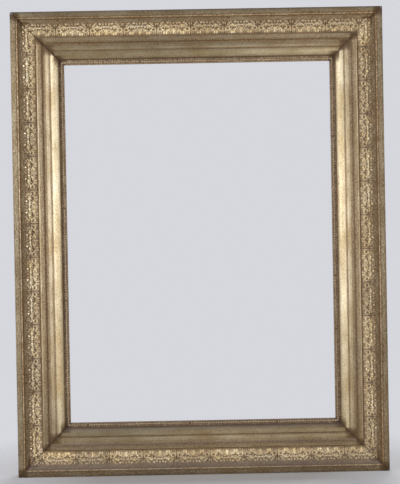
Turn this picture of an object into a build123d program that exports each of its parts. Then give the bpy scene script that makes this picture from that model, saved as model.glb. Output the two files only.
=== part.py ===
from build123d import *
from math import asin, ceil, degrees, floor, radians
import os

# Ornate gilded picture frame, upright, seen from the front along +Y.
# The back of the frame is the plane y = 0, the lower edge is at z = 0 and x = 0 is the middle.
# Each rail is drawn as a section: x runs inward from its outer edge, y is the height off the back.

# Opening that shows the picture
sight_width = 586
sight_height = 790

# Members across a rail, in order from the outer edge to the sight edge
roll_width = 13
lip_width = 3
cove_width = 38
quirk_width = 1.5
fillet_width = 10
hollow_width = 11.5
astragal_width = 6
neck_width = 1
ovolo_width = 19.5
sight_strip_width = 10

# Heights of the members, each above or below its neighbour
board_thickness = 14
slip_thickness = 6
ovolo_step = 5
ovolo_drop = 8
neck_drop = 0.6
fillet_rise = 4
fillet_step = 6
cove_drop = 25.5
lip_rise = 1.8
roll_rise = 1.7
hollow_step = 2.5

# Curvature of the members
roll_radius = 8
cove_sagitta = 5.7
hollow_sagitta = 2.6
astragal_sagitta = 2.1
ovolo_sagitta = 3.7
arris_radius = 0.8
slip_edge_radius = 2.5

# Joints between the lengths
mitre_gap = 0.5
slip_overlap = 9.5

# Picture and rebate
picture_lap = 7
picture_play = 1
rebate_cut = 1

# Pressed lengths of the frieze
frieze_pitch = 74
frieze_seam = 0.3
frieze_thickness = 3.8
frieze_top_margin = 14.5
frieze_foot_margin = 0.5
frieze_shift_shares = {"bottom": -0.31, "top": -0.33, "left": -0.13, "right": 0.22}

# Relief of the frieze: rows run inward over its face, places run along it from the middle
scroll_row = 9.8
scroll_place = 18
scroll_radius = 7.4
scroll_tube_radius = 1.4
boss_radius = 2.1
petal_place = 4.1
petal_radius = 1.8
petal_count = 6
bud_radius = 2.4
stem_radius = 0.9
stem_gap = 0.2
leaf_radius = 1.6
palmette_row = 15
palmette_length = 13
foot_places = [1.6, 4.2, 16.4, 18, 19.6]
foot_rows = [16, 17.8, 20.2, 19.4, 20.2]
foot_lengths = [12, 10.5, 8.3, 9, 8.3]
foot_angles = [20, 40, -24, 0, 24]
fan_places = [1.9, 3.6, 6.2]
fan_rows = [12.5, 14, 16.5]
fan_lengths = [15.5, 14.5, 11.8]
fan_angles = [4, 16, 30]

# Beads on the sight slips
bead_pitch = 3.7
bead_radius_share = 0.54
bead_row_place = 5

# Corner keys
key_length = 70
key_width = 18
key_depth = 5

# Wood screws
screw_radius = 1.75
screw_length = 12
screw_tip_length = 4
screw_head_radius = 3.5
screw_head_height = 2
screw_head_edge = 0.8
screw_slot_width = 0.8
screw_slot_depth = 0.9
screw_play = 0.05
cut_overrun = 1

# Strap hangers and their rings
hanger_inset = 60
hanger_height_share = 0.73
strap_width = 15
strap_length = 50
strap_thickness = 1.5
strap_end_radius = 5
strap_hole_places = [28, 42]
strap_hole_play = 0.25
ring_wire_radius = 1.5
ring_half_width = 11.5
ring_depth = 20
ring_corner_radius = 3
ring_fold_gap = 0.3
ring_bar_play = 0.1

# Turn buttons
button_length = 32
button_width = 12
button_thickness = 1.5
button_hole_place = 6.5
button_hole_play = 0.1
button_inset = 10
button_edge = 0.4
button_height_shares = {"lower": 0.2, "upper": 0.55}
top_button_share = 0.25

# Places across a rail, measured from the outer edge
lip_place = roll_width
cove_place = lip_place + lip_width
quirk_place = cove_place + cove_width
fillet_place = quirk_place + quirk_width
hollow_place = fillet_place + fillet_width
astragal_place = hollow_place + hollow_width
neck_place = astragal_place + astragal_width
ovolo_place = neck_place + neck_width
strip_place = ovolo_place + ovolo_width
rail_width = strip_place + sight_strip_width
slip_place = strip_place - slip_overlap
bead_row = strip_place + bead_row_place

# Heights above the back plane
seat_height = board_thickness + rebate_cut
slip_height = board_thickness + slip_thickness
ovolo_low = slip_height + ovolo_step
ovolo_high = ovolo_low + ovolo_drop
fillet_height = ovolo_high + fillet_rise
cove_low = fillet_height - fillet_step
cove_high = cove_low + cove_drop
lip_height = cove_high + lip_rise
roll_height = lip_height + roll_rise
hollow_height = fillet_height - hollow_step
neck_height = ovolo_high - neck_drop

# The cove as an arc of the section
cove_start = Vector(cove_place, cove_high)
cove_end = Vector(quirk_place, cove_low)
cove_chord = cove_end - cove_start
cove_radius = (cove_chord.length**2 / 4 + cove_sagitta**2) / (2 * cove_sagitta)
cove_offset = cove_chord.normalized().rotate(Axis.Z, 90) * (cove_radius - cove_sagitta)
cove_centre = (cove_start + cove_end) / 2 + cove_offset
cove_arc = cove_radius * radians((cove_start - cove_centre).get_angle(cove_end - cove_centre))


def cove_point(distance):
    """The point on the cove's surface, a distance down from its top."""
    radial = (cove_start - cove_centre).rotate(Axis.Z, degrees(distance / cove_radius))
    return cove_centre + radial


# The frieze's flat face between two points of the cove, and the seat behind it
frieze_top = cove_point(frieze_top_margin)
frieze_foot = cove_point(cove_arc - frieze_foot_margin)
frieze_inward = (frieze_foot - frieze_top).normalized()
frieze_outward = frieze_inward.rotate(Axis.Z, 90)
seat_top = frieze_top - frieze_outward * frieze_thickness
seat_foot = frieze_foot - frieze_outward * frieze_thickness

# Overall size and the rebate
frame_width = sight_width + 2 * rail_width
frame_height = sight_height + 2 * rail_width
rebate_margin = picture_lap + picture_play
board_width = rail_width - rebate_margin
rebate_width = sight_width + 2 * rebate_margin

# Each side as the plane of its section and its full length
sides = {
    "bottom": (
        Plane(origin=(0, 0, 0), x_dir=(0, 0, 1), z_dir=(1, 0, 0)),
        frame_width,
    ),
    "top": (
        Plane(origin=(0, 0, frame_height), x_dir=(0, 0, -1), z_dir=(-1, 0, 0)),
        frame_width,
    ),
    "left": (
        Plane(origin=(-frame_width / 2, 0, frame_height / 2), x_dir=(1, 0, 0), z_dir=(0, 0, -1)),
        frame_height,
    ),
    "right": (
        Plane(origin=(frame_width / 2, 0, frame_height / 2), x_dir=(-1, 0, 0), z_dir=(0, 0, 1)),
        frame_height,
    ),
}

os.makedirs("parts", exist_ok=True)


def back_plane(x, z, height=0):
    """A plane parallel to the back, facing the wall, with its y axis up."""
    return Plane(origin=(x, height, z), x_dir=(-1, 0, 0), z_dir=(0, 1, 0))


def cut_mitres(side, length, gap):
    """Cut both ends of the length in hand at 45 degrees, half a gap short of the corner line."""
    for end in (-1, 1):
        tip = side.origin + side.z_dir * (end * length / 2)
        outward = (side.x_dir + side.z_dir * end).normalized()
        split(bisect_by=Plane(origin=tip - outward * (gap / 2), z_dir=outward), keep=Keep.BOTTOM)


# Wood screw, along +Z with its head seated at z = 0

with BuildPart() as screw:
    with BuildSketch(Plane.XZ):
        with BuildLine():
            Polyline(
                (0, screw_head_height),
                (0, -screw_length),
                (screw_radius, screw_tip_length - screw_length),
                (screw_radius, 0),
                (screw_head_radius, 0),
                (screw_head_radius, screw_head_height - screw_head_edge),
                (screw_head_radius - screw_head_edge, screw_head_height),
                close=True,
            )
        make_face()
    revolve(axis=Axis.Z)
    with BuildSketch(Plane.XY.offset(screw_head_height)):
        Rectangle(screw_slot_width, 2 * (screw_head_radius + cut_overrun))
    extrude(amount=-screw_slot_depth, mode=Mode.SUBTRACT)

# Places of the hardware on the back

hanger_height = frame_height * hanger_height_share
hanger_places = {
    "left": (hanger_inset - frame_width / 2, hanger_height),
    "right": (frame_width / 2 - hanger_inset, hanger_height),
}
hanger_screw_places = [(x, z - drop) for x, z in hanger_places.values() for drop in strap_hole_places]

# Each turn button has the place of its screw and the way that it points when parked
side_button_x = frame_width / 2 - board_width + button_inset
top_button_x = rebate_width * top_button_share
top_button_z = frame_height - board_width + button_inset
button_heights = {level: frame_height * share for level, share in button_height_shares.items()}
button_places = {
    "left_lower": (-side_button_x, button_heights["lower"], 180),
    "left_upper": (-side_button_x, button_heights["upper"], 180),
    "right_lower": (side_button_x, button_heights["lower"], 180),
    "right_upper": (side_button_x, button_heights["upper"], 180),
    "top_left": (-top_button_x, top_button_z, -90),
    "top_right": (top_button_x, top_button_z, 90),
}

# Places of the corner keys, centred on the mitres of the boards, and the way that each key slopes

key_x = frame_width / 2 - board_width / 2
key_low = board_width / 2
key_high = frame_height - board_width / 2
key_planes = {
    "bottom_left": Plane(origin=(-key_x, 0, key_low), x_dir=(1, 0, -1), z_dir=(0, 1, 0)),
    "bottom_right": Plane(origin=(key_x, 0, key_low), x_dir=(1, 0, 1), z_dir=(0, 1, 0)),
    "top_left": Plane(origin=(-key_x, 0, key_high), x_dir=(1, 0, 1), z_dir=(0, 1, 0)),
    "top_right": Plane(origin=(key_x, 0, key_high), x_dir=(1, 0, -1), z_dir=(0, 1, 0)),
}

# Corner keys, let into the back across the mitres

for corner, plane in key_planes.items():
    with BuildPart() as corner_key:
        with BuildSketch(plane):
            Rectangle(key_length, key_width)
        extrude(amount=-key_depth)
    corner_key.part.label = f"corner_key_{corner}"
    export_step(corner_key.part, f"parts/{corner_key.part.label}.step")

# Backing boards, one to a side, which carry everything and form the rebate

for name, (side, length) in sides.items():
    with BuildPart() as board:
        with BuildSketch(side):
            with Locations((board_width / 2, board_thickness / 2)):
                Rectangle(board_width, board_thickness)
        extrude(amount=length / 2, both=True)
        cut_mitres(side, length, 0)
        for plane in key_planes.values():
            with BuildSketch(plane):
                Rectangle(key_length, key_width)
            extrude(amount=-key_depth, mode=Mode.SUBTRACT)
        with Locations(*[back_plane(x, z) for x, z in hanger_screw_places]):
            Hole(screw_radius + screw_play, depth=screw_length - strap_thickness + cut_overrun)
        with Locations(*[back_plane(x, z) for x, z, turn in button_places.values()]):
            Hole(screw_radius + screw_play, depth=screw_length - button_thickness + cut_overrun)
    board.part.label = f"rail_{name}"
    export_step(board.part, f"parts/{board.part.label}.step")

# Outer mouldings: rounded outer rail, lip and the wide cove with the flat seat of the frieze

for name, (side, length) in sides.items():
    with BuildPart() as outer_moulding:
        with BuildSketch(side) as outer_section:
            with BuildLine():
                ThreePointArc(frieze_top, cove_point(frieze_top_margin / 2), cove_start)
                Polyline(
                    cove_start,
                    (cove_place, lip_height),
                    (lip_place, lip_height),
                    (lip_place, roll_height),
                    (0, roll_height),
                    (0, board_thickness),
                    (fillet_place, board_thickness),
                    (fillet_place, seat_foot.Y),
                    seat_foot,
                    seat_top,
                    frieze_top,
                )
            make_face()
            fillet(outer_section.vertices().group_by(Axis.Y)[-1].sort_by(Axis.X)[0], roll_radius)
        extrude(amount=length / 2, both=True)
        cut_mitres(side, length, mitre_gap)
    outer_moulding.part.label = f"outer_moulding_{name}"
    export_step(outer_moulding.part, f"parts/{outer_moulding.part.label}.step")

# Frieze: pressed lengths of composition, each with two scroll rosettes on a stem and leaves below


def frieze_plane(place, row, turn=0):
    """A plane on the frieze's face: x runs along it, y inward over it and z off it."""
    face = frieze_top + frieze_inward * row
    along = Vector(0, 0, 1).rotate(Axis((0, 0, 0), frieze_outward), turn)
    return Plane(origin=(face.X, face.Y, place), x_dir=along, z_dir=frieze_outward)


def leaf(length):
    """A leaf along its y axis, from a point at the origin to a round end."""
    middle = length - leaf_radius
    side_angle = degrees(asin(leaf_radius / middle))
    with BuildPart() as blade:
        with BuildSketch():
            with BuildLine():
                end = CenterArc((0, middle), leaf_radius, -side_angle, 90 + side_angle)
                Polyline(end @ 1, (0, 0), end @ 0)
            make_face()
        revolve(axis=Axis.Y)
    return blade.part


frieze_half = (frieze_pitch - frieze_seam) / 2
stem_length = 2 * (scroll_place - scroll_radius - scroll_tube_radius - stem_gap)
leaves = [(0, palmette_row, palmette_length, 0)]
for end in (-1, 1):
    for place, row, length, angle in zip(foot_places, foot_rows, foot_lengths, foot_angles):
        leaves.append((end * place, row, length, -end * angle))
    for place, row, length, angle in zip(fan_places, fan_rows, fan_lengths, fan_angles):
        leaves.append((end * (frieze_half - place), row, length, end * angle))

with BuildPart() as frieze_length:
    with BuildSketch():
        with BuildLine():
            Polyline(frieze_top, frieze_foot, seat_foot, seat_top, close=True)
        make_face()
    extrude(amount=frieze_half, both=True)
    with Locations(frieze_plane(0, scroll_row)):
        Sphere(bud_radius)
        Cylinder(stem_radius, stem_length, rotation=(0, 90, 0))
    with Locations(*[frieze_plane(end * scroll_place, scroll_row) for end in (-1, 1)]):
        Torus(scroll_radius, scroll_tube_radius)
        Sphere(boss_radius)
        with PolarLocations(petal_place, petal_count):
            Sphere(petal_radius)
    for place, row, length, turn in leaves:
        with Locations(frieze_plane(place, row, turn)):
            add(leaf(length))

for name, (side, length) in sides.items():
    shift = frieze_shift_shares[name] * frieze_pitch
    reach = length / 2 - seat_top.X
    first = floor((-reach - shift) / frieze_pitch + 1 / 2)
    last = ceil((reach - shift) / frieze_pitch - 1 / 2)
    pieces = []
    for number in range(first, last + 1):
        place = shift + number * frieze_pitch
        seat = side.location * Location((0, 0, place))
        if abs(place) + frieze_half + quirk_place < length / 2:
            pieces.append(frieze_length.part.moved(seat))
        else:
            with BuildPart() as end_length:
                with Locations(seat):
                    add(frieze_length.part)
                cut_mitres(side, length, mitre_gap)
            pieces.append(end_length.part)
    frieze = Compound(pieces, label=f"frieze_{name}")
    export_step(frieze, f"parts/{frieze.label}.step")

# Inner mouldings: flat fillet, hollow, astragal and the wide ovolo that falls to the sight slip

for name, (side, length) in sides.items():
    with BuildPart() as inner_moulding:
        with BuildSketch(side) as inner_section:
            with BuildLine():
                Polyline(
                    (strip_place, ovolo_low),
                    (strip_place, slip_height),
                    (slip_place, slip_height),
                    (slip_place, board_thickness),
                    (fillet_place, board_thickness),
                    (fillet_place, fillet_height),
                    (hollow_place, fillet_height),
                    (hollow_place, hollow_height),
                )
                SagittaArc((hollow_place, hollow_height), (astragal_place, ovolo_high), -hollow_sagitta)
                SagittaArc((astragal_place, ovolo_high), (neck_place, neck_height), astragal_sagitta)
                Polyline((neck_place, neck_height), (ovolo_place, neck_height), (ovolo_place, ovolo_high))
                SagittaArc((ovolo_place, ovolo_high), (strip_place, ovolo_low), ovolo_sagitta)
            make_face()
            fillet(inner_section.vertices().group_by(Axis.Y)[-1], arris_radius)
        extrude(amount=length / 2, both=True)
        cut_mitres(side, length, mitre_gap)
    inner_moulding.part.label = f"inner_moulding_{name}"
    export_step(inner_moulding.part, f"parts/{inner_moulding.part.label}.step")

# Sight slips, which overhang the boards; the rebate is cut into their backs to seat the picture

for name, (side, length) in sides.items():
    with BuildPart() as sight_slip:
        with BuildSketch(side) as slip_section:
            with BuildLine():
                Polyline(
                    (slip_place, board_thickness),
                    (slip_place, slip_height),
                    (rail_width, slip_height),
                    (rail_width, seat_height),
                    (board_width, seat_height),
                    (board_width, board_thickness),
                    close=True,
                )
            make_face()
            fillet(slip_section.vertices().group_by(Axis.Y)[-1].sort_by(Axis.X)[-1], slip_edge_radius)
        extrude(amount=length / 2, both=True)
        cut_mitres(side, length, 0)
    sight_slip.part.label = f"sight_slip_{name}"
    export_step(sight_slip.part, f"parts/{sight_slip.part.label}.step")

# Bead rows, a half-round string of beads on each sight slip

for name, (side, length) in sides.items():
    row_length = length - 2 * bead_row
    bead_count = round(row_length / bead_pitch)
    bead_step = row_length / bead_count
    bead_radius = bead_step * bead_radius_share
    bead_neck = (bead_radius**2 - (bead_step / 2) ** 2) ** 0.5
    bead_arcs = [
        ThreePointArc(
            (bead * bead_step, bead_neck),
            ((bead + 1 / 2) * bead_step, bead_radius),
            ((bead + 1) * bead_step, bead_neck),
        )
        for bead in range(bead_count)
    ]
    string_plane = Plane(
        origin=side.from_local_coords((bead_row, slip_height, -row_length / 2)),
        x_dir=side.z_dir,
        z_dir=side.y_dir,
    )
    with BuildPart() as beads:
        with BuildSketch(string_plane):
            with BuildLine():
                add(bead_arcs)
                Polyline((row_length, bead_neck), (row_length, 0), (0, 0), (0, bead_neck))
            make_face()
        revolve(axis=Axis(string_plane.origin, string_plane.x_dir), revolution_arc=180)
        cut_mitres(side, length, 0)
    beads.part.label = f"beads_{name}"
    export_step(beads.part, f"parts/{beads.part.label}.step")

# Strap hangers: a strip screwed to the board, whose upper end curls round the ring's bar

knuckle_radius = strap_thickness + ring_wire_radius + ring_fold_gap

for name, (x, z) in hanger_places.items():
    with BuildPart() as hanger_strap:
        with BuildSketch(Plane(origin=(x, 0, z), x_dir=(0, 0, 1), z_dir=(-1, 0, 0))):
            with Locations((-strap_length / 2, strap_thickness / 2)):
                Rectangle(strap_length, strap_thickness)
            with Locations((0, knuckle_radius)):
                Circle(knuckle_radius)
                Circle(ring_wire_radius + ring_bar_play, mode=Mode.SUBTRACT)
        extrude(amount=strap_width / 2, both=True)
        fillet(hanger_strap.edges().filter_by(Axis.Y).group_by(Axis.Z)[0], strap_end_radius)
        with Locations(*[back_plane(x, z - drop, strap_thickness) for drop in strap_hole_places]):
            Hole(screw_radius + strap_hole_play, depth=strap_thickness)
    hanger_strap.part.label = f"hanger_strap_{name}"
    export_step(hanger_strap.part, f"parts/{hanger_strap.part.label}.step")

# Hanger rings: D-shaped wire whose straight bar turns in the strap, hanging down at rest

for name, (x, z) in hanger_places.items():
    ring_plane = back_plane(x, z, knuckle_radius)
    with BuildPart() as hanger_ring:
        with BuildLine(ring_plane) as ring_half:
            bar = Line((0, 0), (ring_half_width - ring_corner_radius, 0))
            corner = JernArc(bar @ 1, (1, 0), ring_corner_radius, -90)
            leg = Line(corner @ 1, (ring_half_width, ring_half_width - ring_depth))
            JernArc(leg @ 1, (0, -1), ring_half_width, -90)
        with BuildSketch(Plane(origin=ring_plane.origin, x_dir=(0, 1, 0), z_dir=ring_plane.x_dir)):
            Circle(ring_wire_radius)
        sweep(path=ring_half.line)
        mirror(about=Plane(origin=ring_plane.origin, z_dir=(1, 0, 0)))
    hanger_ring.part.label = f"hanger_ring_{name}"
    export_step(hanger_ring.part, f"parts/{hanger_ring.part.label}.step")

# Turn buttons: flat plates with round ends, each free to turn about its screw

for name, (x, z, turn) in button_places.items():
    button_plane = Plane(back_plane(x, z).location * Location((0, 0, 0), (0, 0, turn)))
    with BuildPart() as turn_button:
        with BuildSketch(button_plane):
            with Locations((0, button_length / 2 - button_hole_place)):
                SlotOverall(button_length, button_width, rotation=90)
            Circle(screw_radius + button_hole_play, mode=Mode.SUBTRACT)
        extrude(amount=button_thickness)
        fillet(turn_button.faces().sort_by(Axis.Y)[-1].outer_wire().edges(), button_edge)
    turn_button.part.label = f"turn_button_{name}"
    export_step(turn_button.part, f"parts/{turn_button.part.label}.step")

# Screws of the hangers and of the turn buttons

screw_sets = {
    "hanger_screws": [back_plane(x, z, strap_thickness) for x, z in hanger_screw_places],
    "turn_button_screws": [back_plane(x, z, button_thickness) for x, z, turn in button_places.values()],
}
for name, seats in screw_sets.items():
    screws = Compound([screw.part.moved(seat.location) for seat in seats], label=name)
    export_step(screws, f"parts/{name}.step")
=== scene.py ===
import math
import random

import bmesh
import bpy
from mathutils import Matrix, Vector, noise


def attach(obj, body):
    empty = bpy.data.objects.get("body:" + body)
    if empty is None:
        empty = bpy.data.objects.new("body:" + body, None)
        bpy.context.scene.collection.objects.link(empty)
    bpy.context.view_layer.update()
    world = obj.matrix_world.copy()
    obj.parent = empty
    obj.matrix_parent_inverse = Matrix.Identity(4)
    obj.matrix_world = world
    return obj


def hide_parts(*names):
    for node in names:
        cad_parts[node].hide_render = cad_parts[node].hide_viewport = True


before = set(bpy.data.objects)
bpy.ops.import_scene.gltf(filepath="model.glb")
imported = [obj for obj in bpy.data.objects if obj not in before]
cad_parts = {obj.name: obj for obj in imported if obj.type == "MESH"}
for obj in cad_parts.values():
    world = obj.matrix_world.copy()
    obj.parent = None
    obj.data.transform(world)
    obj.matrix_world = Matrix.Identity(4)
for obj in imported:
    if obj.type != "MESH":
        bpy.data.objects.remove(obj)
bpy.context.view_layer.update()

MM = 0.001

# Sizes in millimetres, as in the solids

frame_width, frame_height = 813, 1017
board_thickness, slip_height, seat_height = 14, 20, 15
board_width, slip_place, rail_width = 105.5, 94, 113.5
roll_radius, roll_height, lip_height = 8, 60, 58.3
lip_place, cove_place, cove_high = 13, 16, 56.5
quirk_place, cove_low, fillet_place, fillet_height = 54, 31, 55.5, 37
hollow_place, hollow_height, astragal_place, astragal_height = 65.5, 34.5, 77, 33.2
neck_place, neck_height, ovolo_place, strip_place, ovolo_low = 83, 32.4, 84, 102.3, 25
arris_radius = 2.2
# The cove's arc in the section: its radius, its centre and the turn at which it starts
cove_radius, cove_centre, cove_turn = 48.78, Vector((59.0, 79.53)), math.radians(208.17)
frieze_pitch, frieze_top_margin, frieze_reach, frieze_thickness = 74, 14.5, 32.6, 3.8
bead_pitch, bead_row, bead_radius = 3.7, 108.5, 2.0
# A quarter circle's sagitta as a share of its radius
quarter_sagitta_share = 0.293
# Longest runs of a bar's mesh, across the section and along it
section_step, bar_step, pressed_step = 1.6, 24, 6
# Points this close to a cut count as on it
cut_tolerance = 0.0001

# Each side's origin, the ways along it and inward across it, and its length

sides = {
    "bottom": ((0, 0, 0), (1, 0, 0), (0, 0, 1), frame_width),
    "top": ((0, 0, frame_height), (-1, 0, 0), (0, 0, -1), frame_width),
    "left": ((-frame_width / 2, 0, frame_height / 2), (0, 0, -1), (1, 0, 0), frame_height),
    "right": ((frame_width / 2, 0, frame_height / 2), (0, 0, 1), (-1, 0, 0), frame_height),
}
# How far the frieze's middle is shifted along each side, as shares of its pitch
frieze_shift_shares = {"bottom": -0.31, "top": -0.33, "left": -0.13, "right": 0.22}

# How far each mitre has opened on this side of the joint, in mm at the outer and at the sight edge

mitre_gaps = {
    ("bottom", -1): (0.4, 0.9),
    ("bottom", 1): (0.6, 0.6),
    ("top", -1): (0.5, 0.3),
    ("top", 1): (0.9, 0.9),
    ("left", -1): (0.9, 0.9),
    ("left", 1): (0.4, 0.9),
    ("right", -1): (0.6, 0.6),
    ("right", 1): (0.5, 0.3),
}


# Shapes


def side_matrix(name):
    """From a side's millimetres, along it, inward and off the back, to the frame's metres."""
    origin, along, inward, length = sides[name]
    axes = Matrix((along, inward, (0, -1, 0))).transposed().to_4x4()
    return Matrix.Translation(Vector(origin) * MM) @ axes @ Matrix.Scale(MM, 4)


def arc(start, end, sagitta, steps):
    """Points of an arc after its start, bulging to the left of its chord where sagitta is positive."""
    start, end = Vector(start), Vector(end)
    chord = end - start
    left = Vector((-chord.y, chord.x)).normalized() * math.copysign(1, sagitta)
    radius = (chord.length_squared / 4 + sagitta**2) / (2 * abs(sagitta))
    centre = (start + end) / 2 - left * (radius - abs(sagitta))
    half = math.asin(chord.length / 2 / radius)
    turns = [half * (2 * step / steps - 1) for step in range(1, steps + 1)]
    ahead = chord.normalized()
    return [tuple(centre + (ahead * math.sin(turn) + left * math.cos(turn)) * radius) for turn in turns]


def on_cove(distance, height=0):
    """A point a distance down the cove from its top and a height off its surface."""
    turn = cove_turn + distance / cove_radius
    return cove_centre + Vector((math.cos(turn), math.sin(turn))) * (cove_radius - height)


def subdivided(outline, step):
    """The outline with points added, so that no straight run between two is longer than step."""
    points = []
    for here, ahead in zip(outline, outline[1:] + outline[:1]):
        here, ahead = Vector(here), Vector(ahead)
        count = math.ceil((ahead - here).length / step)
        points += [here.lerp(ahead, share / count) for share in range(count)]
    return points


def cut_mitres(mesh, name, gap_share=1):
    """Cut both ends along the mitres, a little short of the corner line, and close the ends."""
    length = sides[name][3]
    for end in (-1, 1):
        outer_gap, sight_gap = [gap * gap_share for gap in mitre_gaps[name, end]]
        outer = Vector((end * (length / 2 - outer_gap), 0, 0))
        sight = Vector((end * (length / 2 - rail_width - sight_gap), rail_width, 0))
        along_cut = sight - outer
        normal = Vector((along_cut.y, -along_cut.x, 0)) * end
        cut = bmesh.ops.bisect_plane(
            mesh,
            geom=mesh.verts[:] + mesh.edges[:] + mesh.faces[:],
            dist=cut_tolerance,
            plane_co=outer,
            plane_no=normal,
            clear_outer=True,
        )["geom_cut"]
        rim = [edge for edge in cut if isinstance(edge, bmesh.types.BMEdge) and edge.is_boundary]
        bmesh.ops.holes_fill(mesh, edges=rim, sides=0)


def swept(outline, length, step):
    """A closed bar with this outline, centred on the side's middle."""
    mesh = bmesh.new()
    ring = [mesh.verts.new((-length / 2, across, off)) for across, off in outline]
    edges = [mesh.edges.new(pair) for pair in zip(ring, ring[1:] + ring[:1])]
    first = list(edges)
    count = math.ceil(length / step)
    for _ in range(count):
        grown = bmesh.ops.extrude_edge_only(mesh, edges=edges)["geom"]
        moved = [item for item in grown if isinstance(item, bmesh.types.BMVert)]
        bmesh.ops.translate(mesh, vec=(length / count, 0, 0), verts=moved)
        edges = [item for item in grown if isinstance(item, bmesh.types.BMEdge) and item.is_boundary]
    bmesh.ops.holes_fill(mesh, edges=first + edges, sides=0)
    bmesh.ops.recalc_face_normals(mesh, faces=mesh.faces[:])
    return mesh


def mark(mesh, side, ageing_and_shading):
    """Keep what the finish reads at each point: its place in metres, wear, toning with painted shade, shade
    with painted highlights, and burnish.
    """
    along = mesh.verts.layers.float_vector.new("along")
    place = mesh.verts.layers.float_vector.new("place")
    age_and_shade = mesh.verts.layers.float_vector.new("age_and_shade")
    burnish = mesh.verts.layers.float.new("burnish")
    for vert in mesh.verts:
        vert[along] = sides[side][1]
        vert[place] = vert.co * MM
        wear, tone_and_shade, shade, vert[burnish] = ageing_and_shading(vert.co)
        vert[age_and_shade] = (wear, tone_and_shade, shade)


def smooth_but_arrises(mesh, angle):
    """Shade everything smooth, but keep each edge that turns by more than an angle sharp."""
    for face in mesh.faces:
        face.smooth = True
    for edge in mesh.edges:
        edge.smooth = len(edge.link_faces) == 2 and edge.calc_face_angle(0) < angle


def finished_piece(name, mesh, side, nodes, material):
    """Turn a mesh in a side's millimetres into a piece that rides on the frame and stands for its nodes."""
    mesh.transform(side_matrix(side))
    data = bpy.data.meshes.new(name)
    mesh.to_mesh(data)
    mesh.free()
    data.materials.append(material)
    piece = bpy.data.objects.new(name, data)
    bpy.context.scene.collection.objects.link(piece)
    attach(piece, "frame")
    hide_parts(*nodes)


# Finishes


def linear(hex_colour):
    """An sRGB hex colour as linear RGBA."""
    shares = [int(hex_colour[start : start + 2], 16) / 255 for start in (1, 3, 5)]
    return [share / 12.92 if share < 0.04045 else ((share + 0.055) / 1.055) ** 2.4 for share in shares] + [1]


def add(tree, kind, inputs=None, output=0, **settings):
    """Add a node with its settings, its values and its links, and give one of its outputs."""
    new = tree.nodes.new("ShaderNode" + kind)
    for setting, value in settings.items():
        setattr(new, setting, value)
    for key, value in (inputs or {}).items():
        if isinstance(value, bpy.types.NodeSocket):
            tree.links.new(value, new.inputs[key])
        else:
            new.inputs[key].default_value = value
    return new.outputs[output] if new.outputs else None


def new_material(name):
    """An empty node material."""
    material = bpy.data.materials.new(name)
    material.use_nodes = True
    material.node_tree.nodes.clear()
    return material, material.node_tree


def clouds_over(tree, place):
    """Noise for leaves 60 mm long, streaks 45 by 1.5 mm, mottling 4 mm, specks 2.5 mm and grain 1 mm."""
    clouds = {}
    for cloud, scale, detail in (
        ("leaves", (16, 40, 40), 3),
        ("streaks", (22, 650, 650), 3),
        ("mottle", (260, 320, 320), 5),
        ("specks", (380, 420, 420), 3),
        ("grain", (1100, 1300, 1300), 2),
        ("waver", (50, 90, 90), 2),
    ):
        where = add(tree, "VectorMath", {0: place, 1: scale}, operation="MULTIPLY")
        clouds[cloud] = add(tree, "TexNoise", {"Vector": where, "Scale": 1, "Detail": detail})
    return clouds


def holes_in(tree, place, clouds):
    """Where the gesso has cracked or is pitted, as a share."""
    # Age cracks run across the rail, 8 mm apart where they show and a quarter of a millimetre wide
    along = add(tree, "SeparateXYZ", {0: place})
    wavering = add(tree, "Math", {0: along, 1: 25, 2: clouds["waver"]}, operation="MULTIPLY_ADD")
    crack_cells = {"W": wavering, "Scale": 5}
    gap = add(tree, "TexVoronoi", crack_cells, voronoi_dimensions="1D", feature="DISTANCE_TO_EDGE")
    cracks = add(tree, "MapRange", {"Value": gap, "From Min": 0.02, "From Max": 0.008, "To Max": 0.7})
    broken = add(tree, "MapRange", {"Value": clouds["leaves"], "From Min": 0.48, "From Max": 0.52})
    cracks = add(tree, "Math", {0: cracks, 1: broken}, operation="MULTIPLY")
    # Pits and fly specks, about 2 mm, in one cell of five
    cells = add(tree, "TexVoronoi", {"Vector": place, "Scale": 120})
    pick = add(tree, "SeparateColor", {0: cells.node.outputs["Color"]})
    pick = add(tree, "Math", {0: pick, 1: 0.8}, operation="GREATER_THAN")
    pits = add(tree, "MapRange", {"Value": cells, "From Min": 0.17, "From Max": 0.08})
    pits = add(tree, "Math", {0: pits, 1: pick}, operation="MULTIPLY")
    return add(tree, "Math", {0: pits, 1: cracks}, operation="MAXIMUM")


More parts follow.
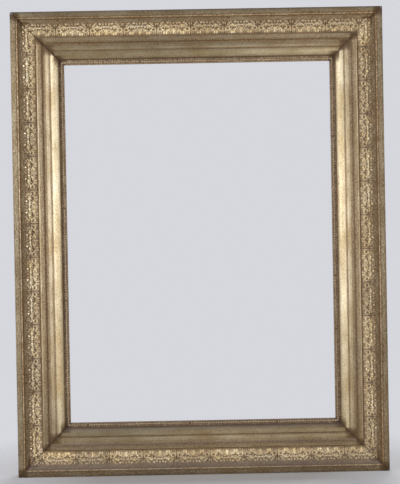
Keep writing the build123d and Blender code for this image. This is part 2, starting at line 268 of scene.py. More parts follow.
def gilding(name, light_gold, deep_gold, toning_and_shade_colour, leaf, matt, burnished, stroked):
    """Gold leaf on red bole over gesso: laid in thin squares, part burnished, toned with size and rubbed.

    Leaf is how metallic bare leaf is, matt and burnished are the roughness of either surface. Stroked gilding
    was burnished and wiped along the rail, so its gloss spreads across it.
    """
    material, tree = new_material(name)
    place = add(tree, "Attribute", output="Vector", attribute_name="place")
    burnish = add(tree, "Attribute", output="Fac", attribute_name="burnish")
    age_and_shade = add(tree, "SeparateXYZ", {0: add(tree, "Attribute", output="Vector", attribute_name="age_and_shade")})
    wear, tone_and_shade, shade = age_and_shade.node.outputs
    clouds = clouds_over(tree, place)
    holes = holes_in(tree, place, clouds)

    # Toning and painted shade lie in recesses, toning mottles the rest; arrises are rubbed through to the
    # bole
    blotch = add(tree, "Math", {0: clouds["mottle"], 1: 0.5}, operation="SUBTRACT")
    blotch_weight = add(tree, "MapRange", {"Value": burnish, "To Min": 1.3, "To Max": 0.35})
    toned_and_shaded = add(tree, "Math", {0: blotch, 1: blotch_weight, 2: tone_and_shade}, operation="MULTIPLY_ADD")
    toned_and_shaded = add(tree, "Math", {0: clouds["streaks"], 1: 0.45, 2: toned_and_shaded}, operation="MULTIPLY_ADD")
    toned_and_shaded = add(tree, "MapRange", {"Value": toned_and_shaded, "From Min": 0.16, "From Max": 0.95})
    rubbed = add(tree, "Math", {0: clouds["mottle"], 1: 0.9, 2: wear}, operation="MULTIPLY_ADD")
    rubbed = add(tree, "MapRange", {"Value": rubbed, "From Min": 1.15, "From Max": 1.35})
    speck_range = {"Value": clouds["specks"], "From Min": 0.58, "From Max": 0.68, "To Max": 0.6}
    specked = add(tree, "MapRange", speck_range)
    # Dust lies where a surface looks up
    upward = add(tree, "SeparateXYZ", {0: add(tree, "NewGeometry", output="Normal")}, "Z")
    dust = add(tree, "Math", {0: clouds["mottle"], 1: 0.6, 2: upward}, operation="MULTIPLY_ADD")
    dust = add(tree, "MapRange", {"Value": dust, "From Min": 0.45, "From Max": 1.2, "To Max": 0.6})

    laid = add(tree, "MapRange", {"Value": clouds["leaves"], "From Min": 0.35, "From Max": 0.68})
    colour = linear(light_gold)
    for share, layer in (
        (laid, deep_gold),
        (toned_and_shaded, toning_and_shade_colour),
        (rubbed, "#6B3F2A"),
        (specked, "#5A4228"),
        (dust, "#897C77"),
        (holes, "#2E2013"),
    ):
        colour = add(tree, "Mix", {0: share, 6: colour, 7: linear(layer)}, 2, data_type="RGBA")
    # The shade attribute scales the colour: a slow random drift, and painted shade and highlights
    colour = add(tree, "HueSaturation", {"Color": colour, "Value": shade})

    # Bare leaf is metal; size, bole, dust and dirt aren't
    metal = add(tree, "Math", {0: toned_and_shaded, 1: -0.5, 2: leaf}, operation="MULTIPLY_ADD")
    for cover in (rubbed, dust, holes):
        bare = add(tree, "Math", {0: 1, 1: cover}, operation="SUBTRACT")
        metal = add(tree, "Math", {0: metal, 1: bare}, operation="MULTIPLY")
    rough = add(tree, "MapRange", {"Value": burnish, "To Min": matt, "To Max": burnished})
    rough = add(tree, "Math", {0: clouds["mottle"], 1: 0.2, 2: rough}, operation="MULTIPLY_ADD")
    rough = add(tree, "Math", {0: toned_and_shaded, 1: 0.12, 2: rough}, operation="MULTIPLY_ADD")

    relief = add(tree, "Math", {0: clouds["mottle"], 1: 0.5, 2: clouds["streaks"]}, operation="MULTIPLY_ADD")
    relief = add(tree, "Math", {0: clouds["grain"], 1: 0.15, 2: relief}, operation="MULTIPLY_ADD")
    relief = add(tree, "Math", {0: relief, 1: holes}, operation="SUBTRACT")
    bump = add(tree, "Bump", {"Height": relief, "Strength": 0.6, "Distance": 0.0005})
    shader = {
        "Base Color": colour,
        "Metallic": metal,
        "Roughness": rough,
        "Normal": bump,
        "Coat Weight": 0.08,
        "Coat Roughness": 0.4,
        "Anisotropic": stroked,
        "Anisotropic Rotation": 0.25,
        "Tangent": add(tree, "Attribute", output="Vector", attribute_name="along"),
    }
    add(tree, "OutputMaterial", {"Surface": add(tree, "BsdfPrincipled", shader)})
    return material


moulding_gilding = gilding(
    "water_gilding_on_moulded_wood",
    light_gold="#E8DCBE",
    deep_gold="#C9B58E",
    toning_and_shade_colour="#7B6142",
    leaf=0.85,
    matt=0.5,
    burnished=0.35,
    stroked=0.86,
)
relief_gilding = gilding(
    "oil_gilding_on_pressed_composition",
    light_gold="#F1E6CE",
    deep_gold="#DDCEAE",
    toning_and_shade_colour="#8A7252",
    leaf=0.75,
    matt=0.45,
    burnished=0.32,
    stroked=0,
)
sight_gilding = gilding(
    "matt_gilding_on_sight_edge",
    light_gold="#D6C3A2",
    deep_gold="#AE9878",
    toning_and_shade_colour="#5E4A38",
    leaf=0.6,
    matt=0.5,
    burnished=0.4,
    stroked=0.5,
)


# Mouldings and sight slips: a rounded rail, a lip and a deep cove, then fillet, hollow, astragal and ovolo

# Toning, burnish and shade of each band, by where it ends across the rail; the shade is partly finish, partly
# painted light
bands = (
    (lip_place, 0.33, 0.0, 0.8),
    # The lip's high shade paints a bright line on it, a painted highlight
    (cove_place, 0.1, 0.1, 1.45),
    (quirk_place - 2, 0.5, 0.0, 0.92),
    (fillet_place + 1.2, 0.1, 0.6, 1.15),
    (hollow_place, 0.46, 0.6, 0.93),
    (astragal_place - 3, 0.5, 0.7, 0.96),
    (ovolo_place + 1, 0.22, 0.9, 1.0),
    (strip_place, 0.02, 1.0, 1.0),
    (rail_width, 0.35, 0.0, 1.4),
)
# Arrises that are rubbed, and recesses with toning and painted shade: place, height off the back, strength,
# reach
arrises = (
    (lip_place, roll_height, 0.8, 1.2),
    (cove_place, lip_height, 0.9, 1.2),
    (fillet_place + 0.8, fillet_height, 0.35, 0.8),
    (hollow_place, fillet_height, 0.8, 1.2),
    (0, board_thickness, 0.9, 2.5),
)
toned_and_shaded_recesses = (
    (lip_place, lip_height, 0.45, 1.2),
    (cove_place, cove_high, 0.5, 3.5),
    (hollow_place, hollow_height, 0.25, 3.5),
    (neck_place, neck_height, 0.4, 2.0),
    (strip_place, ovolo_low, 0.8, 3.2),
    (strip_place, slip_height, 0.5, 1.2),
    (bead_row, slip_height, 0.6, 2.0),
)
# Painted shade by side, for how the lamps fall: a band's start and end across the rail and its amount;
# negative lightens
painted_side_shade_bands = {
    "bottom": ((0, lip_place, 0.18), (hollow_place, astragal_place, -0.06), (neck_place, rail_width, 0.18)),
    "top": ((cove_place, hollow_place, -0.07), (neck_place, rail_width, 0.07)),
    "left": ((strip_place, rail_width, 0.12),),
    "right": ((0, quirk_place, 0.08), (strip_place, rail_width, 0.12)),
}
# How much a level quirk darkens, with dirt and painted shade, and its reach; how far a joint's toning reaches
# and how much it dims
level_quirk_dirt_and_shade, quirk_reach = 0.7, 1.6
joint_reach, joint_dimming = 1.5, 0.35
# The shade's slow drift: its length along and across a side, its strength and the step from side to side
drift_along, drift_across, drift_strength, drift_apart = 160, 60, 0.16, 7.3


def falling_off(distance, reach):
    """A share that falls from one with distance, to a third at its reach."""
    return math.exp(-((distance / reach) ** 2))


def strongest(spots, section):
    """The strongest effect that reaches a point of the section."""
    return max(
        strength * falling_off((section - Vector((across, off))).length, reach)
        for across, off, strength, reach in spots
    )


def moulding_age_and_shade(side):
    """Wear on arrises, toning and painted shade in recesses, toning in joints, painted shade that differs by
    side, and a shade that drifts slowly along the side.
    """
    number = list(sides).index(side)
    length = sides[side][3]
    # Bottom and top run level
    level = sides[side][1][2] == 0

    def ageing_and_shading(point):
        section = Vector((point.y, point.z))
        tone_and_shade, burnish, shade = next(band[1:] for band in bands if point.y < band[0] + 0.01)
        wear = strongest(arrises, section)
        # Recesses darken with toning and painted shade
        tone_and_shade += strongest(toned_and_shaded_recesses, section)
        # A level side's quirk is darkened: dirt and painted shade in the crease
        tone_and_shade += level_quirk_dirt_and_shade * level * falling_off(point.y - quirk_place, quirk_reach)
        joint = falling_off((length / 2 - point.y - abs(point.x)) / math.sqrt(2), joint_reach)
        drift = noise.noise(Vector((point.x / drift_along, point.y / drift_across, number * drift_apart)))
        # Painted shade by side, lighter where negative, also added to the toning
        painted_side_shade = sum(amount for start, end, amount in painted_side_shade_bands[side] if start <= point.y <= end)
        shade *= 1 - painted_side_shade
        shade *= 1 + drift_strength * drift
        return (wear, tone_and_shade + painted_side_shade + joint, shade * (1 - joint_dimming * joint), burnish)

    return ageing_and_shading


def uneven(mesh, seed, amount):
    """Let the bar's surface waver a little along its length, as hand-scraped gesso does."""
    waver_along, waver_across, steady_height = 70, 25, board_thickness + 1
    for vert in mesh.verts:
        along, across, off = vert.co
        waver = noise.noise(Vector((along / waver_along, across / waver_across, seed))) * amount
        vert.co.z += waver if off > steady_height else 0


# Soft shoulders and eased edges of the section
shoulder_width, shoulder_start, shoulder_end, shoulder_sagitta = 1.5, 0.3, 1.2, 0.35
lip_ease, fillet_ease, fillet_ease_sagitta = 0.5, 0.6, 0.17
frieze_foot_play, cove_foot_rise = 0.2, 2.5
# The bend of each member of the inner moulding, and where the astragal and the neck end
hollow_sagitta, astragal_sagitta, neck_sagitta, ovolo_sagitta = 2.2, 0.74, 0.5, 3.7
astragal_start, astragal_end, neck_end = astragal_place - 0.8, neck_place - 2.4, ovolo_place + 0.5
slip_edge, slip_edge_sagitta = 2.5, 0.73

cove_end = frieze_top_margin + 1
outer_outline = [(0, board_thickness), (0, roll_height - roll_radius)]
outer_outline += arc(outer_outline[-1], (roll_radius, roll_height), quarter_sagitta_share * roll_radius, 8)
shoulder = (lip_place - shoulder_width, roll_height - shoulder_start)
outer_outline += arc(shoulder, (lip_place, roll_height - shoulder_end), shoulder_sagitta, 3)
outer_outline += [(lip_place, lip_height), (cove_place - lip_ease, lip_height)]
outer_outline += [(cove_place, lip_height - lip_ease), (cove_place, cove_high)]
outer_outline += [tuple(on_cove(cove_end * share / 8)) for share in range(1, 9)]
outer_outline += [tuple(on_cove(cove_end, -frieze_thickness))]
outer_outline += [tuple(on_cove(frieze_top_margin + frieze_reach, -frieze_thickness))]
outer_outline += [tuple(on_cove(frieze_top_margin + frieze_reach + frieze_foot_play))]
outer_outline += [(fillet_place, cove_low + cove_foot_rise)]
outer_outline += [(fillet_place, board_thickness)]

inner_outline = [(fillet_place, board_thickness), (fillet_place, fillet_height - arris_radius)]
arris_end = (fillet_place + arris_radius, fillet_height)
inner_outline += arc(inner_outline[-1], arris_end, quarter_sagitta_share * arris_radius, 5)
inner_outline += [(hollow_place - fillet_ease, fillet_height)]
inner_outline += arc(inner_outline[-1], (hollow_place, fillet_height - fillet_ease), fillet_ease_sagitta, 3)
inner_outline += [(hollow_place, hollow_height)]
inner_outline += arc(inner_outline[-1], (astragal_start, astragal_height), -hollow_sagitta, 10)
inner_outline += arc(inner_outline[-1], (astragal_end, astragal_height), astragal_sagitta, 6)
inner_outline += arc(inner_outline[-1], (neck_end, neck_height), -neck_sagitta, 5)
inner_outline += arc(inner_outline[-1], (strip_place, ovolo_low), ovolo_sagitta, 16)
inner_outline += [(strip_place, slip_height), (slip_place, slip_height), (slip_place, board_thickness)]

slip_outline = [(slip_place, board_thickness), (slip_place, slip_height)]
slip_outline += [(rail_width - slip_edge, slip_height)]
slip_outline += arc(slip_outline[-1], (rail_width, slip_height - slip_edge), slip_edge_sagitta, 5)
slip_outline += [(rail_width, seat_height), (board_width, seat_height), (board_width, board_thickness)]

# Each bar's outline, slot, finish, unevenness and share of the mitres' opening
bars = {
    "outer_moulding": (outer_outline, "gilded_moulding", moulding_gilding, 0.35, 1),
    "inner_moulding": (inner_outline, "gilded_moulding", moulding_gilding, 0.3, 1),
    "sight_slip": (slip_outline, "gilded_slip", sight_gilding, 0.1, 0.15),
}
# How far apart the sides' unevenness is taken from the noise
uneven_apart = 3.1
moulding_sharpness, relief_sharpness, bead_sharpness = math.radians(28), math.radians(50), math.radians(80)
for number, (side, (_, _, _, length)) in enumerate(sides.items()):
    for bar, (outline, slot_name, material, amount, gap_share) in bars.items():
        mesh = swept(subdivided(outline, section_step), length, bar_step)
        uneven(mesh, number * uneven_apart, amount)
        cut_mitres(mesh, side, gap_share)
        mark(mesh, side, moulding_age_and_shade(side))
        smooth_but_arrises(mesh, moulding_sharpness)
        finished_piece(f"{bar}_{side}_gilded", mesh, side, [f"{bar}_{side}"], material)


# Frieze: pressed lengths with scroll rosettes on a stem, acanthus curls, a palmette and fans of leaves

# Segments along a leaf and across a strip, and how deep a leaf's vein is, as a share of its height
leaf_steps, strip_rows, leaf_vein = 7, 6, 0.45


def curl(root, length, angle, bend, steps, power=1.0):
    """Points of a line from its root, whose heading turns by bend as it goes; 0 heads inward."""
    points = [Vector(root)]
    for step in range(steps):
        share = (step + 0.5) / steps
        turn = math.radians(angle + bend * share**power)
        points.append(points[-1] + Vector((math.sin(turn), math.cos(turn))) * length / steps)
    return points


def blade_width(share):
    """A leaf's width over its length: narrow at the root, widest past the middle, round at the tip."""
    swell = 0.4 + 0.6 * math.sin(math.pi / 2 * min(1, share / 0.6))
    tip = max(0, (share - 0.6) / 0.4)
    return swell * math.sqrt(max(0, 1 - tip**2))


def blade_height(share):
    """A leaf's height over its length: low at the root, full near the tip, which turns down."""
    tip = max(0, (share - 0.8) / 0.2)
    return (0.45 + 0.55 * math.sin(math.pi / 2 * min(1, share / 0.7))) * math.sqrt(max(0, 1 - tip**2))


def cord_height(share):
    """A stem's height, with both ends turned down."""
    end = max(0, (abs(share - 0.5) - 0.42) / 0.08)
    return math.sqrt(max(0, 1 - end**2))


def raise_strip(mesh, line, width, height, rows, vein, width_share, height_share, sunk=0.4):
    """Raise a strip with a round back, and a sunk vein along its middle, over a line on the ground."""
    steps = len(line) - 1
    for vert in bmesh.ops.create_grid(mesh, x_segments=steps, y_segments=rows, size=1)["verts"]:
        share, across = (vert.co.x + 1) / 2, vert.co.y
        step = round(share * steps)
        heading = (line[min(step + 1, steps)] - line[max(step - 1, 0)]).normalized()
        spot = line[step] + Vector((-heading.y, heading.x)) * across * width / 2 * width_share(share)
        crown = height * height_share(share)
        back = crown * (1 - abs(across) ** 2.4) - vein * crown * math.exp(-((across / 0.25) ** 2))
        vert.co = (spot.x, spot.y, back - sunk * abs(across) ** 6)


def leaf(mesh, root, length, angle, bend, width, height):
    """A veined leaf that grows from its root at an angle, 0 being inward, and bends as it goes."""
    line = curl(root, length, angle, bend, leaf_steps)
    raise_strip(mesh, line, width, height, strip_rows, leaf_vein, blade_width, blade_height)


def dome(mesh, centre, radius, height):
    """A low round boss."""
    ball = bmesh.ops.create_icosphere(mesh, subdivisions=2, radius=radius)["verts"]
    bmesh.ops.scale(mesh, vec=(1, 1, height / radius), verts=ball)
    bmesh.ops.translate(mesh, vec=(centre[0], centre[1], 0), verts=ball)


def lobed(share):
    """A leafy scroll's width: full at its root, narrow at its eye, with lobed edges."""
    return (1.05 - 0.45 * share) * (0.7 + 0.5 * abs(math.sin(share * math.pi * 5)))


# The row of the stem, how much further inward the rosettes stand, and their distance from the middle
stem_row, rosette_drop, rosette_place = 10.4, 0.4, 18.5
# A scroll's width and height, and how deep its vein is, as a share of its height
scroll_width, scroll_height, scroll_vein = 4.4, 4.4, 0.35
# Foot leaves: their pitch and row, their length and how much shorter every other one starts
reed_pitch, reed_row, reed_length, reed_stagger = 3.5, 16.5, 15.2, 1.5


def reeded_foot(mesh):
    """Reeded leaves, side by side, all along the foot."""
    for number in range(-10, 11):
        drop = reed_stagger * (number % 2)
        root = (number * reed_pitch, reed_row + drop)
        leaf(mesh, root, reed_length - drop, number * 1.6, 0, reed_pitch, 3.3)


def stem_and_palmette(mesh):
    """The stem, a palmette under its middle and a bud over it."""
    stem = [Vector((place, stem_row)) for place in (-10, -6, -3, 0, 3, 6, 10)]
    raise_strip(mesh, stem, 3.6, 3.8, 4, 0.3, lambda share: 1, cord_height)
    leaf(mesh, (0, 13.4), 18.0, 0, 0, 6.8, 4.8)
    leaf(mesh, (0, 7.2), 6.6, 180, 0, 5.0, 3.8)


def husks(mesh, end):
    """Husks that sheathe the stem, and a small leaf over it."""
    leaf(mesh, (end * 0.4, stem_row), 7.2, end * 90, 0, 6.0, 5.8)
    leaf(mesh, (end * 12.0, stem_row), 6.0, -end * 90, 0, 5.2, 4.8)
    leaf(mesh, (end * 4.6, 7.2), 7.4, end * 128, end * 60, 5.2, 3.8)


def leafy_curl(mesh, line):
    """A lobed strip with a vein, raised over a curled line."""
    raise_strip(mesh, line, scroll_width, scroll_height, strip_rows, scroll_vein, lobed, cord_height)


def rosette(mesh, end):
    """A leafy scroll that winds round five plump petals and their boss, with acanthus curls and a bell."""
    middle = Vector((end * rosette_place, stem_row + rosette_drop))
    leafy_curl(mesh, curl(middle + Vector((-end * 8.4, 5.8)), 38, end * 172, -end * 285, 28, 1.1))
    for petal in range(5):
        turn = math.radians(72 * petal + 20)
        root = middle + Vector((math.sin(turn), math.cos(turn))) * 0.8
        leaf(mesh, root, 5.4, math.degrees(turn), 20, 4.6, 5.4)
    dome(mesh, middle, 2.1, 6.4)
    for turn, length in ((155, 6.0), (128, 7.0), (100, 7.6), (70, 7.6)):
        heading = math.radians(turn)
        root = middle + Vector((end * math.sin(heading), math.cos(heading))) * 6.2
        leaf(mesh, root, length, end * (turn - 25), end * 80, 5.0, 4.6)
    leaf(mesh, middle + Vector((-end * 2.4, -7.0)), 6.6, -end * 130, end * 70, 5.0, 4.2)
    for shift, angle in ((-2.6, -16), (2.6, 16)):
        leaf(mesh, (end * rosette_place + shift, 18.4), 13.5, angle, -angle * 2.4, 5.8, 4.6)


def foot_volutes(mesh, end):
    """Leafy volutes along the foot, turned towards the palmette and towards the joint."""
    for root, bend in (((end * 13.6, 17.4), -end), ((end * 23.6, 17.0), end)):
        leafy_curl(mesh, curl(root, 23, bend * 6, bend * 260, 20, 1.2))
        leaf(mesh, Vector(root) + Vector((bend * 4.6, 6.6)), 4.4, bend * 60, 40, 4.0, 4.6)
    leaf(mesh, (end * 4.4, 14.4), 10.5, end * 30, end * 50, 5.6, 4.4)


def joint_leaves(mesh, end):
    """Leaves that fan from the joint."""
    leaf(mesh, (end * 34.9, 11.6), 19.5, -end * 2, end * 4, 4.6, 3.4)
    leaf(mesh, (end * 31.0, 12.0), 9.0, -end * 24, -end * 60, 4.4, 3.2)
    leaf(mesh, (end * 34.4, 10.6), 9.0, end * 166, end * 24, 4.6, 3.2)


def pressed_relief():
    """The relief of one pressed length, flat: x runs along it, y inward and z off its ground."""
    mesh = bmesh.new()
    reeded_foot(mesh)
    stem_and_palmette(mesh)
    for end in (-1, 1):
        for ornament in (husks, rosette, foot_volutes, joint_leaves):
            ornament(mesh, end)
    return mesh


# The seam between two pressed lengths
seam_width = 0.4


def pressed_length():
    """One pressed length on its curved ground, in a side's millimetres, centred on its middle."""
    top, foot = frieze_top_margin, frieze_top_margin + frieze_reach
    outline = [tuple(on_cove(top + (foot - top) * share / 14)) for share in range(15)]
    outline += [tuple(on_cove(foot, -frieze_thickness)), tuple(on_cove(top, -frieze_thickness))]
    length = frieze_pitch - seam_width
    mesh = swept(outline, length, pressed_step)
    relief = pressed_relief()
    for vert in relief.verts:
        along, row, height = vert.co
        across, off = on_cove(frieze_top_margin + row, height)
        vert.co = (along, across, off)
    for end in (-1, 1):
        bmesh.ops.bisect_plane(
            relief,
            geom=relief.verts[:] + relief.edges[:] + relief.faces[:],
            plane_co=(end * length / 2, 0, 0),
            plane_no=(end, 0, 0),
            clear_outer=True,
        )
    data = bpy.data.meshes.new("pressed_relief")
    relief.to_mesh(data)
    mesh.from_mesh(data)
    relief.free()
    bpy.data.meshes.remove(data)
    length_data = bpy.data.meshes.new("pressed_length")
    mesh.to_mesh(length_data)
    mesh.free()
    return length_data


# Height at which the relief counts as a top, and how far the toning of a seam reaches
relief_top, seam_reach = 3.6, 0.5
# Ground toning and painted shade, the tops' painted highlight (less toning, more brightness), their burnish,
# seam dirt
ground_tone_and_shade, top_highlight_untoning, ground_shade, top_highlight_gain, top_burnish, seam_dirt = 0.75, 0.8, 1.14, 0.42, 0.7, 0.3


def frieze_age_and_shade(shade_of):
    """Tops lightened as a painted highlight, the ground toned and darkened as painted shade, toning in the
    seams, and each length's own shade.
    """

    def ageing_and_shading(point):
        height = cove_radius - (Vector((point.y, point.z)) - cove_centre).length
        top = min(1, max(0, height / relief_top))
        shade, from_seam = shade_of(point.x)
        seam = seam_dirt * falling_off(from_seam, seam_reach)
        tone_and_shade = ground_tone_and_shade - top_highlight_untoning * top + seam
        return (0, tone_and_shade, shade * (ground_shade + top_highlight_gain * top - seam), top_burnish * top)

    return ageing_and_shading


# How much a length is turned or shifted where it was laid a little askew, and the range of their shades
askew_turn, askew_shift, length_shades = 0.004, 0.25, (0.86, 1.06)
# A length is left out where its nearer end lies within this of the side's corner
end_margin = 28
pressed = pressed_length()
for side, (_, _, _, length) in sides.items():
    shift = frieze_shift_shares[side] * frieze_pitch
    reach = math.ceil(length / 2 / frieze_pitch) + 1
    chance = random.Random(side)
    shades = {number: chance.uniform(*length_shades) for number in range(-reach - 1, reach + 2)}
    mesh = bmesh.new()
    for number in range(-reach, reach + 1):
        place = shift + number * frieze_pitch
        if abs(place) - frieze_pitch / 2 > length / 2 - end_margin:
            continue
        start = len(mesh.verts)
        mesh.from_mesh(pressed)
        mesh.verts.ensure_lookup_table()
        grown = mesh.verts[start:]
        turned = Matrix.Rotation(chance.uniform(-askew_turn, askew_turn), 3, "Z")
        bmesh.ops.rotate(mesh, matrix=turned, verts=grown)
        bmesh.ops.translate(mesh, vec=(place, chance.uniform(-askew_shift, askew_shift), 0), verts=grown)
    cut_mitres(mesh, side)

    def shade_of(along):
        number = round((along - shift) / frieze_pitch)
        return shades[number], frieze_pitch / 2 - abs(along - shift - number * frieze_pitch)

    mark(mesh, side, frieze_age_and_shade(shade_of))
    smooth_but_arrises(mesh, relief_sharpness)
    nodes = [f"frieze_{side}"]
    finished_piece(f"frieze_{side}_relief", mesh, side, nodes, relief_gilding)
bpy.data.meshes.remove(pressed)


# Beads: a string of small oval beads on each sight slip, a few of them lost

# Toning and painted shade at a bead's foot, and how they change to a painted highlight at its top
bead_foot_tone_and_shade, bead_highlight_untoning, bead_shade, bead_highlight_gain = 1.0, 1.2, 0.7, 0.8
# A bead's shape, the share of beads that are lost, the lowest bead's height and how much of one is sunk
bead_shape, lost_share, lowest_bead_share, bead_sunk_share = (0.8, 1.2, 1), 0.012, 0.85, 0.5


def bead_age_and_shade(point):
    """Beads carry a painted highlight on top, and toning with painted shade where they sit."""
    height = max(0, (point.z - slip_height) / bead_radius)
    return (0, bead_foot_tone_and_shade - bead_highlight_untoning * height, bead_shade + bead_highlight_gain * height, height)


ball = bmesh.new()
bmesh.ops.create_uvsphere(ball, u_segments=9, v_segments=6, radius=bead_radius)
sunk = [vert for vert in ball.verts if vert.co.z < -bead_sunk_share * bead_radius]
bmesh.ops.delete(ball, geom=sunk, context="VERTS")
bmesh.ops.scale(ball, vec=bead_shape, verts=ball.verts[:])
bead = bpy.data.meshes.new("bead")
ball.to_mesh(bead)
ball.free()
for side, (_, _, _, length) in sides.items():
    row_length = length - 2 * bead_row
    count = round(row_length / bead_pitch)
    chance = random.Random(side + "beads")
    mesh = bmesh.new()
    for number in range(count):
        if chance.random() < lost_share:
            continue
        place = (number + 0.5) * row_length / count - row_length / 2
        height = chance.uniform(lowest_bead_share, 1.0)
        start = len(mesh.verts)
        mesh.from_mesh(bead)
        mesh.verts.ensure_lookup_table()
        for vert in mesh.verts[start:]:
            vert.co = (vert.co.x + place, vert.co.y + bead_row, vert.co.z * height + slip_height)
    mark(mesh, side, bead_age_and_shade)
    smooth_but_arrises(mesh, bead_sharpness)
    finished_piece(f"beads_{side}_strung", mesh, side, [f"beads_{side}"], sight_gilding)
bpy.data.meshes.remove(bead)


# Bare wood and metal of the back


def wood(name, grain_axis, pale, dark, ring_width):
    """Planed wood, browned with age: growth bands some millimetres wide, fine pores and a low sheen."""
    material, tree = new_material(name)
    place = add(tree, "TexCoord", output="Object")
    # The grain is drawn out 25 times along its axis
    stretch = [1, 1, 1]
    stretch[grain_axis] = 0.04
    along = add(tree, "VectorMath", {0: place, 1: stretch}, operation="MULTIPLY")
    sway = add(tree, "TexNoise", {"Vector": along, "Scale": 9, "Detail": 3})
    growth = {"Vector": along, "Scale": 1 / (ring_width * MM), "Detail": 4, "Distortion": 1.2}
    bands = add(tree, "TexNoise", growth)
    pores = add(tree, "TexNoise", {"Vector": along, "Scale": 1400, "Detail": 2})
    stains = add(tree, "TexNoise", {"Vector": place, "Scale": 7, "Detail": 5})
    banded = add(tree, "MapRange", {"Value": bands, "From Min": 0.35, "From Max": 0.65, "To Max": 0.55})
    banded = add(tree, "Math", {0: sway, 1: 0.5, 2: banded}, operation="MULTIPLY_ADD")
    stained = add(tree, "MapRange", {"Value": stains, "From Min": 0.5, "From Max": 0.75, "To Max": 0.5})
    pored = add(tree, "MapRange", {"Value": pores, "From Min": 0.6, "From Max": 0.72})
    colour = linear(pale)
    for share, layer in ((banded, dark), (stained, "#4A3422"), (pored, "#3A2818")):
        colour = add(tree, "Mix", {0: share, 6: colour, 7: linear(layer)}, 2, data_type="RGBA")
    relief = add(tree, "Math", {0: pores, 1: 0.6, 2: bands}, operation="MULTIPLY_ADD")
    shader = {
        "Base Color": colour,
        "Roughness": add(tree, "MapRange", {"Value": bands, "To Min": 0.62, "To Max": 0.77}),
        "Normal": add(tree, "Bump", {"Height": relief, "Strength": 0.35, "Distance": 0.0004}),
    }
    add(tree, "OutputMaterial", {"Surface": add(tree, "BsdfPrincipled", shader)})
    return material


def fitting_metal(name, bright, dull, tarnish, clean, roughness):
    """A metal fitting, dulled by handling, with tarnish or rust in patches; clean sets how little of it."""
    material, tree = new_material(name)
    place = add(tree, "TexCoord", output="Object")
    spangle = add(tree, "TexNoise", {"Vector": place, "Scale": 420, "Detail": 3})
    patches = add(tree, "TexNoise", {"Vector": place, "Scale": 110, "Detail": 5})
    tarnished = add(tree, "MapRange", {"Value": patches, "From Min": clean, "From Max": clean + 0.1})
    dulled = add(tree, "MapRange", {"Value": spangle, "From Min": 0.35, "From Max": 0.65})
    colour = linear(bright)
    for share, layer in ((dulled, dull), (tarnished, tarnish)):
        colour = add(tree, "Mix", {0: share, 6: colour, 7: linear(layer)}, 2, data_type="RGBA")
    rough = add(tree, "Math", {0: spangle, 1: 0.25, 2: roughness}, operation="MULTIPLY_ADD")
    relief = add(tree, "Math", {0: spangle, 1: tarnished}, operation="ADD")
    shader = {
        "Base Color": colour,
        "Metallic": add(tree, "MapRange", {"Value": tarnished, "To Min": 1, "To Max": 0.2}),
        "Roughness": add(tree, "Math", {0: tarnished, 1: 0.3, 2: rough}, operation="MULTIPLY_ADD"),
        "Normal": add(tree, "Bump", {"Height": relief, "Strength": 0.3, "Distance": 0.0001}),
    }
    add(tree, "OutputMaterial", {"Surface": add(tree, "BsdfPrincipled", shader)})
    return material


pine_across = wood("aged_pine_grain_across", 0, "#B48E5E", "#8A6238", 5)
pine_upright = wood("aged_pine_grain_upright", 2, "#B48E5E", "#8A6238", 5)
key_beech = wood("planed_beech", 0, "#8F6A45", "#6F4C2D", 3)
zinc_plate = fitting_metal("zinc_plated_steel", "#B9BAB6", "#8E8F8B", "#6B4A2E", 0.66, 0.3)
screw_steel = fitting_metal("plain_steel", "#8F8C86", "#6C6964", "#5C3E28", 0.6, 0.35)
old_brass = fitting_metal("tarnished_brass", "#C7A35E", "#94733D", "#4E3B20", 0.6, 0.28)

back_finishes = {
    "rail_top": pine_across,
    "rail_bottom": pine_across,
    "rail_left": pine_upright,
    "rail_right": pine_upright,
    "corner_key": key_beech,
    "hanger_strap": zinc_plate,
    "hanger_ring": zinc_plate,
    "hanger_screws": screw_steel,
    "turn_button_screws": screw_steel,
    "turn_button": old_brass,
}
for node, cad_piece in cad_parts.items():
    finish = next((finish for start, finish in back_finishes.items() if node.startswith(start)), None)
    if finish:
        cad_piece.data.materials.clear()
        cad_piece.data.materials.append(finish)


# Stage, light and camera

# A matt white floor that fades out behind and around the frame, so that no edge of it shows
floor_material, tree = new_material("matt_white_floor")
place = add(tree, "TexCoord", output="Object")
far = add(tree, "VectorMath", {0: place, 1: (0.55, 1, 1)}, "Value", operation="LENGTH")
faded = add(tree, "MapRange", {"Value": far, "From Min": 0.25, "From Max": 0.7})
paint = add(tree, "BsdfDiffuse", {"Color": linear("#E4E5E9")})
surface = add(tree, "MixShader", {0: faded, 1: paint, 2: add(tree, "BsdfTransparent")})
add(tree, "OutputMaterial", {"Surface": surface})
floor_radius = 1.4
sheet = bmesh.new()
bmesh.ops.create_circle(sheet, cap_ends=True, segments=64, radius=floor_radius)
floor_mesh = bpy.data.meshes.new("floor")
sheet.to_mesh(floor_mesh)
sheet.free()
floor_mesh.materials.append(floor_material)
floor = bpy.data.objects.new("floor", floor_mesh)
bpy.context.scene.collection.objects.link(floor)
floor.visible_diffuse = False
floor.visible_glossy = False

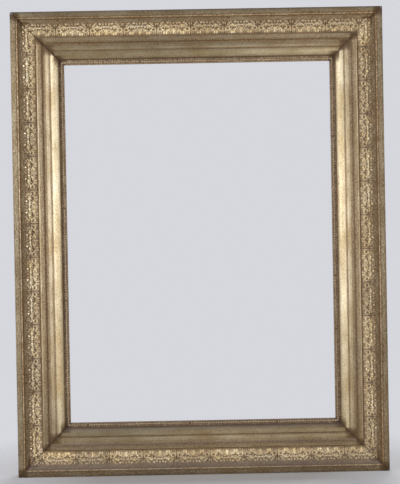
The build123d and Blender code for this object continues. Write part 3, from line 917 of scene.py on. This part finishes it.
# A pale wall tone all round, and the dimmer light of a room, stronger from its pale floor than from above
world = bpy.data.worlds.new("pale_room")
bpy.context.scene.world = world
world.use_nodes = True
tree = world.node_tree
tree.nodes.clear()
wall = add(tree, "Background", {"Color": linear("#D6D7DD"), "Strength": 1.0})
height = add(tree, "SeparateXYZ", {0: add(tree, "TexCoord", output="Generated")}, "Z")
dimming = {"Value": height, "From Min": -0.7, "From Max": 0.7, "To Min": 0.4, "To Max": 0.08}
falling = add(tree, "MapRange", dimming)
room = add(tree, "Background", {"Color": linear("#E4DACA"), "Strength": falling})
seen = add(tree, "LightPath", output="Is Camera Ray")
add(tree, "OutputWorld", {"Surface": add(tree, "MixShader", {0: seen, 1: room, 2: wall})})


def soft_lamp(name, place, aim, size, power, colour):
    """A soft box that faces the frame and isn't seen itself."""
    light = bpy.data.lights.new(name, "AREA")
    light.color = linear(colour)[:3]
    light.shape = "RECTANGLE"
    light.size, light.size_y = size
    light.energy = power
    lamp = bpy.data.objects.new(name, light)
    lamp.visible_camera = False
    lamp.location = place
    lamp.rotation_euler = (Vector(aim) - Vector(place)).to_track_quat("-Z", "Y").to_euler()
    bpy.context.scene.collection.objects.link(lamp)


# Every lamp aims at the middle of the frame; sizes in metres, power in watts
middle = (0, -0.04, 0.51)
soft_lamp("left_lamp", (-1.8, -2.1, 0.9), middle, (1.0, 1.6), 46, "#FBFCFF")
soft_lamp("right_lamp", (2.1, -1.8, 0.9), middle, (1.0, 1.5), 23, "#FBFCFF")
soft_lamp("front_lamp", (0.6, -2.6, 0.2), middle, (1.0, 1.5), 12, "#FFF6EA")
soft_lamp("back_lamp", (0.6, 2.6, 1.9), middle, (1.5, 1.5), 60, "#FFFFFF")

# The camera's place, in metres, and its tilt give the photo's view
eye, target, tilt = Vector((-0.0205, -3.0, 0.5355)), Vector((0, 0, 0.508)), math.radians(-1.04)
camera_data = bpy.data.cameras.new("camera")
camera_data.sensor_width = 36
camera_data.lens = 100.3
camera = bpy.data.objects.new("camera", camera_data)
facing = (target - eye).to_track_quat("-Z", "Y").to_matrix().to_4x4()
camera.matrix_world = Matrix.Translation(eye) @ facing @ Matrix.Rotation(tilt, 4, "Z")
bpy.context.scene.collection.objects.link(camera)
bpy.context.scene.camera = camera
bpy.context.scene.view_settings.view_transform = "Standard"
